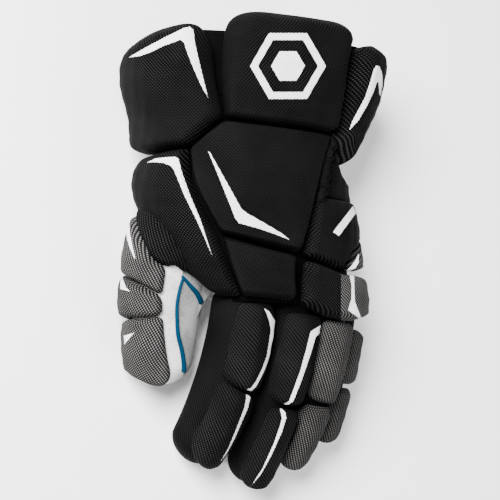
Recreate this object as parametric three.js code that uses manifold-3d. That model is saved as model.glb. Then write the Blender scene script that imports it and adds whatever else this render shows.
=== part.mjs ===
// Padded field glove for the left hand, lying palm down with its fingers gently curled.
// Millimetres. +X runs from the thumb to the little finger, +Y from the fingertips to the cuff, +Z up.
import * as THREE from "three";
import { mergeVertices } from "three/addons/utils/BufferGeometryUtils.js";
import Module from "manifold-3d";

const wasm = await Module();
wasm.setup();

// Driving sizes of the hand and cuff
const HAND_LENGTH = 178; // cuff pads' free ends to the knuckle line
const HAND_WIDTH = 132; // liner, across the thumb's base
const HAND_DEPTH = 56; // liner, back to palm
const KNUCKLE_Y = -30;
const LINER_WALL = 2.4;
const FINGER_WALL = 2;
const GAP = 0.35; // between neighbouring pieces
const LINER_END = 0.075; // share of the hand's length by which the cuff pads stand past the liner
const PALM_END = 0.3; // share of the hand's length at which the palm leather stops

// Driving sizes of the fingers and thumb
const FINGER_WIDTH = 26;
const FINGER_DEPTH = 28;
const FINGER_LENGTH = 126; // middle finger, knuckle line to tip
const THUMB_WIDTH = 34;
const THUMB_DEPTH = 30;
const THUMB_LENGTH = 92;

// Driving sizes of the padding
const PLATE_THICK = 13;
const CUFF_THICK = 16;
const FINGER_PAD_THICK = 9;
const THUMB_PAD_THICK = 8;
const EDGE_ROLL = 7; // how far in from its seam a pad keeps rising
const RISE = 1.08; // a pad's middle against its thickness
const ROOT = 4; // how deep a pad is drawn into its host before the host's skin trims it
const CORNER_SHARE = 0.24; // corner rounding as a share of the shorter neighbouring edge

// The hand's sections, evenly spaced from the cuff to the knuckles.
// shift and wide are shares of HAND_WIDTH, lift, top and bottom of HAND_DEPTH, and roll is in degrees.
const HAND_SECTIONS = [
  { shift: 0.01, lift: 0.91, wide: 0.58, top: 0.6, bottom: 0.78, roll: -6 },
  { shift: -0.005, lift: 0.84, wide: 0.57, top: 0.56, bottom: 0.76, roll: -5 },
  { shift: 0.0, lift: 0.77, wide: 0.55, top: 0.52, bottom: 0.74, roll: -3 },
  { shift: 0.0, lift: 0.72, wide: 0.5, top: 0.5, bottom: 0.72, roll: 0 },
  { shift: -0.02, lift: 0.72, wide: 0.48, top: 0.52, bottom: 0.68, roll: 2 },
  { shift: -0.03, lift: 0.76, wide: 0.5, top: 0.52, bottom: 0.62, roll: 4 },
  { shift: 0.01, lift: 0.8, wide: 0.49, top: 0.5, bottom: 0.56, roll: 5 },
  { shift: 0.07, lift: 0.83, wide: 0.445, top: 0.46, bottom: 0.48, roll: 6 },
  { shift: 0.15, lift: 0.86, wide: 0.385, top: 0.4, bottom: 0.4, roll: 6 },
];

// The fingers leave the knuckle line and curl down to the surface that the glove lies on.
// across is the root's place as a share of HAND_WIDTH, lift a share of HAND_DEPTH, long a share of FINGER_LENGTH.
// drop and curl are the downward slopes in degrees at the root and the tip, splay and lean the sideways ones.
// start and joint are the shares of its length where the first pad begins and where the two pads meet.
const FINGERS = [
  { name: "index", across: -0.1, lift: 0.9, long: 0.9, wide: 1.24, deep: 1.18, drop: 8, curl: 39, splay: 1, lean: 24, roll: 20, start: 0.05, joint: 0.49 },
  { name: "middle", across: 0.17, lift: 0.95, long: 1.0, wide: 1.14, deep: 1, drop: 8, curl: 36, splay: 4, lean: 11, roll: 6, start: 0.05, joint: 0.5 },
  { name: "ring", across: 0.375, lift: 0.92, long: 0.9, wide: 1.08, deep: 1, drop: 10, curl: 40, splay: 4, lean: 8, roll: 6, start: 0.12, joint: 0.51 },
  { name: "little", across: 0.52, lift: 0.62, long: 0.74, wide: 0.94, deep: 0.96, drop: 8, curl: 28, splay: 3, lean: 5, roll: 20, start: 0.16, joint: 0.55 },
];

const RINGS = { hand: 22, finger: 12 };
const RIGHT_ANGLE = Math.PI / 2;
const FLOOR = 3; // height at which the surface presses the palm, fingertips and thumb flat

// A hollow or padded form: a smooth run of superellipse sections along a centre line.
class Form {
  constructor(sections, squareness, steps, segments, upright = false) {
    this.squareness = squareness;
    this.upright = upright; // sections stay square to the Y axis
    this.steps = steps;
    this.segments = segments;
    const curve = (pick) => new THREE.CatmullRomCurve3(sections.map((s) => new THREE.Vector3(...pick(s))));
    this.centres = curve((s) => [s.x, s.y, s.z]);
    this.sizes = curve((s) => [s.wide, s.top, s.bottom]);
    this.rolls = curve((s) => [s.roll, 0, 0]);
    this.length = this.centres.getLength();
    const middle = this.sizes.getPoint(0.5);
    this.quarter = (middle.x + middle.y) * 0.8;
  }

  frame(along) {
    const t = THREE.MathUtils.clamp(along, 0, 1);
    const centre = this.centres.getPoint(t);
    const tangent = this.upright ? new THREE.Vector3(0, -1, 0) : this.centres.getTangent(t);
    centre.addScaledVector(tangent, (along - t) * this.length);
    const roll = THREE.MathUtils.degToRad(this.rolls.getPoint(t).x);
    const side = new THREE.Vector3(1, 0, 0).addScaledVector(tangent, -tangent.x).normalize();
    const up = new THREE.Vector3().crossVectors(tangent, side);
    const across = side.clone().multiplyScalar(Math.cos(roll)).addScaledVector(up, -Math.sin(roll));
    const back = up.multiplyScalar(Math.cos(roll)).addScaledVector(side, Math.sin(roll));
    return { centre, across, back, size: this.sizes.getPoint(t) };
  }

  // across runs from -1 on the thumb side over 0 on the back to 1 on the outer side, and on round to 3.
  point(along, across, offset = 0, taper = 1) {
    const { centre, across: side, back, size } = this.frame(along);
    const angle = RIGHT_ANGLE * (1 - across);
    const round = (v) => Math.sign(v) * Math.abs(v) ** (2 / this.squareness);
    const height = Math.sin(angle) > 0 ? size.y : size.z;
    return centre
      .addScaledVector(side, (size.x + offset) * round(Math.cos(angle)) * taper)
      .addScaledVector(back, (height + offset) * round(Math.sin(angle)) * taper);
  }

  // A closed solid of the form from one share of its length to another, with a round nose if noseLength is given.
  solid(from, to, offset = 0, noseLength = 0) {
    const rings = [];
    const nose = (noseLength + (noseLength ? offset : 0)) / this.length;
    const end = to + (noseLength ? offset / this.length : 0);
    const ring = (along, taper) => {
      const points = [];
      for (let i = 0; i < this.segments; i++) points.push(this.point(along, -1 + (4 * i) / this.segments, offset, taper));
      rings.push(points);
    };
    const straightEnd = end - nose;
    for (let i = 0; i <= this.steps; i++) ring(from + ((straightEnd - from) * i) / this.steps, 1);
    if (noseLength) for (const a of [30, 55, 76]) {
      const angle = THREE.MathUtils.degToRad(a);
      ring(straightEnd + nose * Math.sin(angle), Math.cos(angle));
    }
    const caps = [this.frame(from).centre, this.frame(end).centre];
    return loft(rings, caps[0], caps[1]);
  }

  // The half space on the palm side of the form's side seams, as a solid that runs past both ends.
  palmSide(from, to, seamDrop, reach) {
    const rings = [];
    for (let i = 0; i <= this.steps; i++) {
      const { centre, across, back } = this.frame(from + ((to - from) * i) / this.steps);
      const at = (a, b) => centre.clone().addScaledVector(across, a).addScaledVector(back, b);
      rings.push([at(-reach, -reach), at(-reach, -seamDrop), at(reach, -seamDrop), at(reach, -reach)]);
    }
    const centreOf = (ring) => ring.reduce((sum, p) => sum.add(p), new THREE.Vector3()).divideScalar(ring.length);
    return loft(rings, centreOf(rings[0]), centreOf(rings[rings.length - 1]));
  }
}

// Closed rings joined by side faces, with a fan to a point at each end.
function loft(rings, first, last) {
  const n = rings[0].length;
  const vertices = [first, ...rings.flat(), last];
  const triangles = [];
  const id = (ring, i) => 1 + ring * n + (i % n);
  for (let i = 0; i < n; i++) {
    triangles.push([0, id(0, i + 1), id(0, i)]);
    triangles.push([vertices.length - 1, id(rings.length - 1, i), id(rings.length - 1, i + 1)]);
    for (let r = 0; r < rings.length - 1; r++) {
      triangles.push([id(r, i), id(r, i + 1), id(r + 1, i + 1)]);
      triangles.push([id(r, i), id(r + 1, i + 1), id(r + 1, i)]);
    }
  }
  const made = solidOf(vertices, triangles);
  return made.volume() > 0 ? made : solidOf(vertices, triangles.map((t) => [t[0], t[2], t[1]]));
}

function solidOf(vertices, triangles) {
  const geometry = new THREE.BufferGeometry().setFromPoints(vertices).setIndex(triangles.flat());
  return solidOfGeometry(geometry);
}

function solidOfGeometry(geometry) {
  const plain = geometry.clone();
  plain.deleteAttribute("normal");
  plain.deleteAttribute("uv");
  const merged = mergeVertices(plain, 1e-4);
  const mesh = { numProp: 3, vertProperties: merged.attributes.position.array, triVerts: new Uint32Array(merged.index.array) };
  return new wasm.Manifold(new wasm.Mesh(mesh));
}

function geometryOf(solid) {
  const mesh = solid.getMesh();
  const geometry = new THREE.BufferGeometry();
  geometry.setAttribute("position", new THREE.BufferAttribute(new Float32Array(mesh.vertProperties), 3));
  geometry.setIndex(new THREE.BufferAttribute(new Uint32Array(mesh.triVerts), 1));
  geometry.computeVertexNormals();
  return geometry;
}

// A pad's seam line: its corners with rounded turns, evenly stepped, in millimetres on the host's skin.
function seamLine(corners, points) {
  const shape = new THREE.Shape();
  const n = corners.length;
  const cut = (i, j) => {
    const a = corners[i];
    const b = corners[(j + n) % n];
    const shorter = Math.min(a.distanceTo(b), a.distanceTo(corners[(2 * i - j + n) % n]));
    return a.clone().lerp(b, Math.min(0.45, (CORNER_SHARE * shorter) / a.distanceTo(b)));
  };
  corners.forEach((corner, i) => {
    const enter = cut(i, i - 1);
    const leave = cut(i, i + 1);
    if (i === 0) shape.moveTo(enter.x, enter.y);
    else shape.lineTo(enter.x, enter.y);
    shape.quadraticCurveTo(corner.x, corner.y, leave.x, leave.y);
  });
  shape.closePath();
  return shape.getSpacedPoints(points).slice(0, points);
}

// A crowned pad sewn on a host form. Its corners are [share along the host, share across it].
// With grow it is a little larger all round, to trim a neighbour that it lies over.
function padSolid(host, corners, thick, points = 20, grow = 0) {
  const flat = corners.map(([along, across]) => new THREE.Vector2(along * host.length, across * host.quarter));
  const seam = seamLine(flat, points);
  const heart = seam.reduce((sum, p) => sum.add(p), new THREE.Vector2()).divideScalar(points);
  const ring = (inset, height) =>
    seam.map((p) => {
      const q = p.clone().sub(heart);
      q.multiplyScalar(1 - inset / q.length()).add(heart);
      return host.point(q.x / host.length, q.y / host.quarter, height);
    });
  const share = (part, height) =>
    seam.map((p) => {
      const q = p.clone().sub(heart).multiplyScalar(part).add(heart);
      return host.point(q.x / host.length, q.y / host.quarter, height);
    });
  const top = thick * RISE + grow;
  const depth = ROOT + 4 * grow;
  const rings = [
    ring(1.2 - grow, -depth),
    ring(-grow, 0.45 * thick + grow),
    ring(EDGE_ROLL * 0.3 - grow, 0.82 * thick + grow),
    ring(EDGE_ROLL - grow, thick + grow),
  ];
  const large = Math.min(...seam.map((p) => p.distanceTo(heart))) > 2.5 * EDGE_ROLL;
  if (large) rings.push(share(0.4, top));
  const centre = (height) => host.point(heart.x / host.length, heart.y / host.quarter, height);
  return loft(rings, centre(-depth), centre(top));
}

// The hand form
const handForm = new Form(
  HAND_SECTIONS.map((s, i) => ({
    x: s.shift * HAND_WIDTH,
    y: KNUCKLE_Y + HAND_LENGTH * (1 - i / (HAND_SECTIONS.length - 1)),
    z: s.lift * HAND_DEPTH,
    wide: s.wide * HAND_WIDTH,
    top: s.top * HAND_DEPTH,
    bottom: s.bottom * HAND_DEPTH,
    roll: s.roll,
  })),
  2.5,
  8,
  RINGS.hand,
  true,
);

// A finger's centre line is walked in even steps while its slope grows from drop to curl.
const FINGER_STEPS = 5;
const TIP_NARROWS = 0.18;
function fingerForm(f) {
  const length = f.long * FINGER_LENGTH;
  const at = new THREE.Vector3(f.across * HAND_WIDTH, KNUCKLE_Y, f.lift * HAND_DEPTH);
  const sections = [];
  for (let i = 0; i <= FINGER_STEPS; i++) {
    const slope = THREE.MathUtils.degToRad(f.drop + ((f.curl - f.drop) * i) / FINGER_STEPS);
    const splay = THREE.MathUtils.degToRad(f.splay + ((f.lean - f.splay) * i) / FINGER_STEPS);
    const step = length / FINGER_STEPS;
    sections.push({
      x: at.x, y: at.y, z: at.z,
      wide: (f.wide * FINGER_WIDTH * (1 - (TIP_NARROWS * i) / FINGER_STEPS)) / 2,
      top: (f.deep * FINGER_DEPTH) / 2,
      bottom: (f.deep * FINGER_DEPTH) / 2,
      roll: f.roll,
    });
    at.add(new THREE.Vector3(-Math.sin(splay) * step, -Math.cos(slope) * Math.cos(splay) * step, -Math.sin(slope) * step));
  }
  return new Form(sections, 2.4, 4, RINGS.finger);
}
const fingers = FINGERS.map((f) => ({ ...f, form: fingerForm(f) }));

// The thumb lies beside the palm, its nail side turned outwards.
const THUMB_SECTIONS = [
  { x: -0.31, y: 0.42, z: 0.7, wide: 0.42, deep: 0.6, roll: -66 },
  { x: -0.4, y: 0.1, z: 0.64, wide: 0.52, deep: 0.78, roll: -70 },
  { x: -0.42, y: -0.24, z: 0.56, wide: 0.54, deep: 0.82, roll: -72 },
  { x: -0.42, y: -0.58, z: 0.46, wide: 0.52, deep: 0.72, roll: -72 },
  { x: -0.4, y: -0.93, z: 0.28, wide: 0.48, deep: 0.54, roll: -72 },
];
const THUMB_ROOT_Y = 0;
const thumbForm = new Form(
  THUMB_SECTIONS.map((s) => ({
    x: s.x * HAND_WIDTH,
    y: THUMB_ROOT_Y + s.y * THUMB_LENGTH,
    z: s.z * HAND_DEPTH,
    wide: s.wide * THUMB_WIDTH,
    top: s.deep * THUMB_DEPTH,
    bottom: s.deep * THUMB_DEPTH,
    roll: s.roll,
  })),
  2.3,
  6,
  RINGS.finger,
);

// Hollow inside, from the wrist through to each fingertip
const FINGER_ROOT = -0.16; // how far a finger's hollow reaches back into the hand, as a share of its length
const handOuter = handForm.solid(LINER_END, 1);
const handHollow = handForm.solid(LINER_END - 0.1, 1 - LINER_WALL / HAND_LENGTH, -LINER_WALL);
const fingerNose = FINGER_DEPTH / 2;
const thumbNose = THUMB_DEPTH / 2;
const fingerHollows = fingers.map((f) => f.form.solid(FINGER_ROOT, 1, -FINGER_WALL, fingerNose));
const thumbHollow = thumbForm.solid(0, 1, -FINGER_WALL, thumbNose);
const hollow = [...fingerHollows, thumbHollow].reduce((all, h) => all.add(h), handHollow);

// Everything below the surface that the glove lies on is pressed flat
const floorBox = solidOfGeometry(new THREE.BoxGeometry(600, 600, 200).translate(0, 0, FLOOR - 100));

// Side seams part the dark back from the pale palm leather
const SEAM_DROP = 6;
const FINGER_SEAM_DROP = 10;
const REACH = 90;
const handPalmSide = handForm.palmSide(PALM_END, 1.1, SEAM_DROP, REACH);
const handPalmSideWide = handForm.palmSide(PALM_END - GAP / HAND_LENGTH, 1.1, SEAM_DROP - GAP, REACH);
const handKeepOut = handForm.solid(LINER_END, 1 + GAP / HAND_LENGTH, GAP);
const knuckleEnd = solidOfGeometry(new THREE.BoxGeometry(300, 200, 300).translate(0, KNUCKLE_Y - 100 - 2 * GAP, 0));

const backLiner = handOuter.subtract(hollow).subtract(handPalmSideWide).subtract(floorBox);
let palm = handOuter.subtract(hollow).intersect(handPalmSide);
const gussets = [];
let earlier = handKeepOut; // the hand and the fingers already made
fingers.forEach((f, i) => {
  const shell = f.form.solid(0, 1, 0, fingerNose).subtract(hollow);
  const below = f.form.palmSide(-0.1, 1.1, FINGER_SEAM_DROP, FINGER_WIDTH);
  const belowWide = f.form.palmSide(-0.1, 1.1, FINGER_SEAM_DROP - GAP, FINGER_WIDTH);
  const face = shell
    .intersect(below)
    .subtract(handForm.solid(LINER_END, 1 - 1 / HAND_LENGTH, -1))
    .subtract(earlier.subtract(handPalmSide.subtract(knuckleEnd)));
  palm = palm.add(face);
  gussets.push(shell.subtract(belowWide).subtract(earlier));
  earlier = earlier.add(f.form.solid(0, 1, GAP, fingerNose));
});
palm = palm.subtract(floorBox);
const thumbSleeve = thumbForm.solid(0, 1, 0, thumbNose).subtract(hollow).subtract(handKeepOut).subtract(floorBox);

// Largest connected body of a solid, so that slivers left by a cut are dropped
function mainBody(solid) {
  return solid.decompose().reduce((best, s) => (s.volume() > best.volume() ? s : best));
}

const material = (color, roughness) => new THREE.MeshStandardMaterial({ color, roughness, metalness: 0 });
const BLACK_MESH = material(0x1b1b1c, 0.85);
const GREY_MESH = material(0x5e5c5a, 0.8);
const SUEDE = material(0xcfcfcd, 0.95);
const SUEDE_DARK = material(0x8f8f90, 0.95);
const GUSSET = material(0x24221f, 0.9);
const PIPING = material(0x00739a, 0.6);

const glove = new THREE.Group();
function piece(name, solid, look) {
  const mesh = new THREE.Mesh(geometryOf(mainBody(solid)), look);
  mesh.name = name;
  glove.add(mesh);
}

piece("back_liner", backLiner, BLACK_MESH);
piece("palm_leather", palm, SUEDE);

// Plates and cuff pads on the hand. Each corner is [share along from the cuff, share across].
const HAND_PADS = [
  {
    name: "cuff_pad_radial", thick: CUFF_THICK, look: BLACK_MESH,
    corners: [[0.2, -1.28], [0.11, -0.9], [0.06, -0.4], [0.2, -0.32], [0.415, -0.3], [0.48, -0.58], [0.535, -0.95], [0.46, -1.22]],
  },
  {
    name: "cuff_pad_back", thick: CUFF_THICK, look: BLACK_MESH,
    corners: [[-0.005, -0.26], [0.02, 0.36], [0.4, 0.35], [0.39, -0.24]],
  },
  {
    name: "cuff_pad_outer", thick: CUFF_THICK, look: BLACK_MESH,
    corners: [[0.1, 0.42], [0.07, 0.75], [0.12, 1.02], [0.4, 1.02], [0.52, 0.85], [0.55, 0.58], [0.43, 0.41]],
  },
  {
    name: "back_plate", thick: PLATE_THICK, look: BLACK_MESH,
    corners: [[0.5, -0.54], [0.415, -0.32], [0.43, 0.36], [0.89, 0.02], [0.79, -0.44]],
  },
  {
    name: "thumb_side_plate", thick: PLATE_THICK, look: BLACK_MESH,
    corners: [[0.56, -1.0], [0.54, -0.6], [0.74, -0.53], [1.01, -0.57], [1.02, -0.92], [0.9, -1.12], [0.82, -1.35], [0.62, -1.3]],
  },
  {
    name: "outer_plate", thick: PLATE_THICK, look: BLACK_MESH,
    corners: [[0.475, 0.42], [0.58, 0.62], [0.585, 1.0], [0.66, 1.1], [0.81, 0.86], [0.865, 0.5], [0.885, 0.08]],
  },
  {
    name: "outer_wedge_pad", thick: PLATE_THICK * 0.8, look: GREY_MESH,
    corners: [[0.845, 0.9], [0.89, 0.62], [0.885, 1.3], [0.74, 1.35], [0.72, 1.12]],
  },
  {
    name: "knuckle_plate_middle", thick: PLATE_THICK, look: BLACK_MESH,
    corners: [[0.815, -0.47], [0.915, -0.0], [1.03, -0.06], [1.02, -0.51]],
  },
  {
    name: "knuckle_plate_outer", thick: PLATE_THICK * 0.9, look: GREY_MESH,
    corners: [[0.91, 0.06], [0.9, 0.75], [1.08, 0.75], [1.09, 0.0]],
  },
];
const HAND_PAD_POINTS = 18;
for (const p of HAND_PADS) {
  const pad = padSolid(handForm, p.corners, p.thick, HAND_PAD_POINTS);
  piece(p.name, pad.subtract(handKeepOut).subtract(hollow), p.look);
}
const grownPad = (name) => {
  const p = HAND_PADS.find((pad) => pad.name === name);
  return padSolid(handForm, p.corners, p.thick, HAND_PAD_POINTS, 1.2 * GAP);
};
const thumbSidePlate = grownPad("thumb_side_plate");
const knuckles = grownPad("knuckle_plate_outer").add(grownPad("knuckle_plate_middle")).add(thumbSidePlate);
piece("thumb_sleeve", thumbSleeve.subtract(thumbSidePlate), SUEDE);
fingers.forEach((f, i) => piece(f.name + "_gusset", gussets[i].subtract(floorBox).subtract(knuckles), GUSSET));

// Two pads on the back of each finger. A finger's pads tuck in under those of the finger before it.
const FINGER_PAD_ACROSS = { inner: -0.62, outer: 0.56, outerTip: 0.5 };
let taken = earlier.add(knuckles).add(floorBox);
for (const f of fingers) {
  const looks = f.name === "ring" || f.name === "little" ? GREY_MESH : BLACK_MESH;
  const spans = { proximal: [f.start, f.joint - 0.012], distal: [f.joint + 0.012, 0.97] };
  const { inner, outer, outerTip } = FINGER_PAD_ACROSS;
  const made = Object.entries(spans).map(([part, [from, to]]) => {
    const corners = [[from, inner], [from, outer], [to, outerTip], [to, inner]];
    piece(f.name + "_pad_" + part, padSolid(f.form, corners, FINGER_PAD_THICK, 16).subtract(taken), looks);
    return padSolid(f.form, corners, FINGER_PAD_THICK, 16, 1.2 * GAP);
  });
  taken = taken.add(made[0]).add(made[1]);
}

// Three pads on the back of the thumb
const thumbKeepOut = thumbForm.solid(0, 1, GAP, thumbNose).add(handKeepOut).add(thumbSidePlate).add(floorBox);
const THUMB_SPANS = { base: [0.2, 0.42], middle: [0.44, 0.64], tip: [0.66, 0.99] };
for (const [part, [from, to]] of Object.entries(THUMB_SPANS)) {
  const corners = [[from, -0.8], [from, 0.55], [to, 0.55], [to, -0.8]];
  piece("thumb_pad_" + part, padSolid(thumbForm, corners, THUMB_PAD_THICK, 16).subtract(thumbKeepOut), GREY_MESH);
}

// The web between the thumb and the palm: a sheet from the thumb's inner side to the hand, with a hollowed free edge.
const WEB = { thick: 2, thumb: [0.3, 0.8], thumbAcross: 1.15, hand: [0.84, 0.99], handAcross: -1.28, hollow: 7 };
const PIPING_RADIUS = 1;
function webPoint(t, s, offset) {
  const mix = ([a, b]) => a + (b - a) * t;
  const a = thumbForm.point(mix(WEB.thumb), WEB.thumbAcross, -1);
  const b = handForm.point(mix(WEB.hand), WEB.handAcross, -1);
  const normal = new THREE.Vector3(0, 1, 0).cross(b.clone().sub(a)).normalize();
  const p = a.lerp(b, s).addScaledVector(normal, -offset);
  p.y += WEB.hollow * t * 4 * s * (1 - s);
  return p;
}
const WEB_ACROSS = [0, 0.25, 0.5, 0.75, 1];
const webRings = [0, 0.35, 0.7, 1].map((t) => [
  ...WEB_ACROSS.map((s) => webPoint(t, s, WEB.thick / 2)),
  ...WEB_ACROSS.map((s) => webPoint(t, 1 - s, -WEB.thick / 2)),
]);
const webKeepOut = thumbKeepOut.add(earlier);
piece("web_gusset", loft(webRings, webPoint(0, 0.5, 0), webPoint(1, 0.5, 0)).subtract(webKeepOut), SUEDE_DARK);

// Blue piping along the thumb's inner seam and over the web
function cord(points) {
  const line = new THREE.CatmullRomCurve3(points);
  const steps = points.length * 2;
  const frames = line.computeFrenetFrames(steps);
  const rings = [];
  for (let i = 0; i <= steps; i++) {
    const centre = line.getPointAt(i / steps);
    const ring = [];
    for (let k = 0; k < 6; k++) {
      const angle = (k * Math.PI) / 3;
      ring.push(
        centre
          .clone()
          .addScaledVector(frames.normals[i], Math.cos(angle) * PIPING_RADIUS)
          .addScaledVector(frames.binormals[i], Math.sin(angle) * PIPING_RADIUS),
      );
    }
    rings.push(ring);
  }
  return loft(rings, line.getPointAt(0), line.getPointAt(1));
}
const thumbSeam = [0.44, 0.58, 0.7, 0.82, 0.92].map((along) => thumbForm.point(along, 0.85, 0.5 * PIPING_RADIUS));
piece("thumb_piping", cord(thumbSeam).subtract(thumbKeepOut), PIPING);
const webSeam = [0.12, 0.4, 0.7, 0.95].map((s) => webPoint(0.6, s, WEB.thick / 2 + PIPING_RADIUS + GAP));
piece("web_piping", cord(webSeam).subtract(webKeepOut), PIPING);

// The origin is the middle of the outline, on the surface that the glove rests on
const middle = new THREE.Box3().setFromObject(glove).getCenter(new THREE.Vector3());
for (const mesh of glove.children) mesh.geometry.translate(-middle.x, -middle.y, -FLOOR);

export default glove;
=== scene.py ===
import math

import bmesh
import bpy
import numpy as np
from mathutils import Matrix, Vector
from mathutils.bvhtree import BVHTree


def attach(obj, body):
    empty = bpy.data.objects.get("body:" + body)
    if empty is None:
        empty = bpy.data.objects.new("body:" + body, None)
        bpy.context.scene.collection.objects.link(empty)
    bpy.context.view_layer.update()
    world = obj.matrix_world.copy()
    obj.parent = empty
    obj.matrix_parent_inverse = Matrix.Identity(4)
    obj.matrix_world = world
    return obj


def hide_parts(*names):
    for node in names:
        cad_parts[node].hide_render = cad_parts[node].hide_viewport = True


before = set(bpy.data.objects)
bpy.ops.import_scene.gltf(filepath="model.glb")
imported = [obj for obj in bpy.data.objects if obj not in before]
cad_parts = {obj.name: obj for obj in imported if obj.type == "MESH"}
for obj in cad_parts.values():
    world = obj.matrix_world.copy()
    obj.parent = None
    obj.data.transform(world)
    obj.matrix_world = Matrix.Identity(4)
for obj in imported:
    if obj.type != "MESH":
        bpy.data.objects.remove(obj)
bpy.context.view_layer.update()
bpy.ops.object.select_all(action="DESELECT")

# Camera, floor and light
# The glove lies palm down and is seen from above, a little from the thumb's side and the fingertips.
# A wide soft light hangs over the cuff on the left, with weaker ones on the right and over the fingers.
AIM = Vector((0.0, 0.004, 0.037))
VIEW_DISTANCE = 1.15
TILT_TO_THUMB = math.radians(30)
TILT_TO_TIPS = math.radians(6)
FRAME_WIDTH = 0.325
view_back = Vector((
    -math.sin(TILT_TO_THUMB) * math.cos(TILT_TO_TIPS),
    -math.sin(TILT_TO_TIPS),
    math.cos(TILT_TO_THUMB) * math.cos(TILT_TO_TIPS),
))
view_right = Vector((math.cos(TILT_TO_THUMB), 0, math.sin(TILT_TO_THUMB)))
view_up = view_back.cross(view_right)
camera_data = bpy.data.cameras.new("photo_view")
camera_data.sensor_width = 36
camera_data.lens = 36 * VIEW_DISTANCE / FRAME_WIDTH
camera = bpy.data.objects.new("photo_view", camera_data)
bpy.context.scene.collection.objects.link(camera)
camera.matrix_world = Matrix.Translation(AIM + view_back * VIEW_DISTANCE) @ Matrix(
    (view_right, view_up, view_back)
).transposed().to_4x4()
bpy.context.scene.camera = camera

bpy.ops.mesh.primitive_plane_add(size=6, location=(0, 0, 0))
floor = bpy.context.active_object
floor.name = "floor"
floor_look = bpy.data.materials.new("pale_floor")
floor_look.use_nodes = True
floor_look.node_tree.nodes["Principled BSDF"].inputs["Base Color"].default_value = (0.95, 0.95, 0.95, 1)
floor_look.node_tree.nodes["Principled BSDF"].inputs["Roughness"].default_value = 0.9
floor.data.materials.append(floor_look)

world = bpy.data.worlds.new("studio")
world.use_nodes = True
world.node_tree.nodes["Background"].inputs["Color"].default_value = (1, 1, 1, 1)
world.node_tree.nodes["Background"].inputs["Strength"].default_value = 0.34
bpy.context.scene.world = world
LIGHTS = [
    ("key", (-0.95, 0.45, 1.1), 0.8, 118),
    ("fill", (0.9, -0.1, 1.0), 0.9, 2),
    ("tips", (0.5, -1.0, 0.75), 0.7, 17),
]
for name, place, width, power in LIGHTS:
    light_data = bpy.data.lights.new(name, "AREA")
    light_data.shape = "DISK"
    light_data.size = width
    light_data.energy = power
    light = bpy.data.objects.new(name, light_data)
    bpy.context.scene.collection.objects.link(light)
    light.location = place
    light.rotation_euler = (Vector((0, 0, 0.04)) - Vector(place)).to_track_quat("-Z", "Y").to_euler()

# Back liner
# The black mesh sleeve that goes over the back of the hand and carries the plates, open at the wrist.
# It is one layer of stretched mesh over thin foam, and stops at the seams to the palm leather.
MM = 0.001
ORIGIN = np.array((-1.042, -3.148, 3.0))
HAND_LENGTH = 178.0
HAND_WIDTH = 132.0
HAND_DEPTH = 56.0
KNUCKLE_Y = -30.0
LINER_WALL = 2.4
LINER_END = 0.075
PALM_END = 0.3
BACK_END = 1.03
SEAM_DROP = 6.0
GAP = 0.35
FLOOR_CLEARANCE = 0.00001
# shift, lift, wide, top, bottom, roll, from the cuff to the knuckles
HAND_SECTIONS = [
    (0.01, 0.91, 0.58, 0.6, 0.78, -6),
    (-0.005, 0.84, 0.57, 0.56, 0.76, -5),
    (0.0, 0.77, 0.55, 0.52, 0.74, -3),
    (0.0, 0.72, 0.5, 0.5, 0.72, 0),
    (-0.02, 0.72, 0.48, 0.52, 0.68, 2),
    (-0.03, 0.76, 0.5, 0.52, 0.62, 4),
    (0.01, 0.8, 0.49, 0.5, 0.56, 5),
    (0.07, 0.83, 0.445, 0.46, 0.48, 6),
    (0.15, 0.86, 0.385, 0.4, 0.4, 6),
]


def curve_through(points, t):
    """Points on a centripetal spline through the given ones, at shares t of its length."""
    points = np.array(points, float)
    last = len(points) - 1
    p = np.clip(np.atleast_1d(t), 0, 1) * last
    i = np.minimum(np.floor(p).astype(int), last - 1)
    w = (p - i)[:, None]
    padded = np.vstack([2 * points[0] - points[1], points, 2 * points[-1] - points[-2]])
    p0, p1, p2, p3 = (padded[i + k] for k in range(4))
    step = lambda a, b: np.maximum(((a - b) ** 2).sum(1, keepdims=True) ** 0.25, 1e-9)
    d1 = step(p1, p2)
    d1 = np.where(d1 < 1e-4, 1.0, d1)
    d0 = step(p0, p1)
    d0 = np.where(d0 < 1e-4, d1, d0)
    d2 = step(p2, p3)
    d2 = np.where(d2 < 1e-4, d1, d2)
    m1 = ((p1 - p0) / d0 - (p2 - p0) / (d0 + d1) + (p2 - p1) / d1) * d1
    m2 = ((p2 - p1) / d1 - (p3 - p1) / (d1 + d2) + (p3 - p2) / d2) * d1
    return p1 + m1 * w + (-3 * p1 + 3 * p2 - 2 * m1 - m2) * w**2 + (2 * p1 - 2 * p2 + m1 + m2) * w**3


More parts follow.
